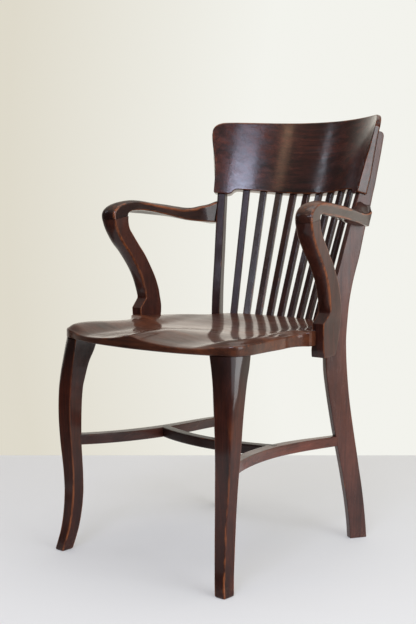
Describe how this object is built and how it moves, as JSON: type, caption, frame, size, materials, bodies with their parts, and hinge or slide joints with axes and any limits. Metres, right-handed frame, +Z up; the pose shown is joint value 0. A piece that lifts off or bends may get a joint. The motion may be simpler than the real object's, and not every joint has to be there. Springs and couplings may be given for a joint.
{
  "type": "captains chair",
  "caption": "Wooden armchair with a saddled board seat, a wide curved crest rail over flat slats, hooked arms, curved front legs and a bowed H stretcher.",
  "frame": {"origin": "centre of the chair's bounding box, on the floor that it stands on", "axes": "+Z up, the chair faces -Y, +X towards the sitter's left hand, X = 0 is its plane of symmetry"},
  "size_m": [0.5634, 0.6214, 0.9021],
  "materials": {
    "seat": "gloss",
    "leg": "satin",
    "post": "satin",
    "crest": "gloss",
    "slat": "satin",
    "arm": "satin",
    "stretcher": "satin",
    "dowel": "bare"
  },
  "bodies": {
    "root": {"seat": "seat", "crest_rail": "crest", "slat_1": "slat", "slat_2": "slat", "slat_3": "slat", "slat_4": "slat", "slat_5": "slat", "slat_6": "slat", "slat_7": "slat", "slat_8": "slat", "slat_9": "slat", "front_leg_left": "leg", "front_leg_right": "leg", "back_post_left": "post", "back_post_right": "post", "arm_support_left": "arm", "arm_support_right": "arm", "arm_rest_left": "arm", "arm_rest_right": "arm", "side_stretcher_left": "stretcher", "side_stretcher_right": "stretcher", "cross_stretcher": "stretcher", "knuckle_dowel_left": "dowel", "knuckle_dowel_right": "dowel", "block_dowel_front_left": "dowel", "block_dowel_front_right": "dowel", "block_dowel_rear_left": "dowel", "block_dowel_rear_right": "dowel", "arm_dowel_left": "dowel", "arm_dowel_right": "dowel", "seat_dowel_left": "dowel", "seat_dowel_right": "dowel", "crest_dowel_low_left": "dowel", "crest_dowel_low_right": "dowel", "crest_dowel_high_left": "dowel", "crest_dowel_high_right": "dowel"}
  },
  "joints": []
}
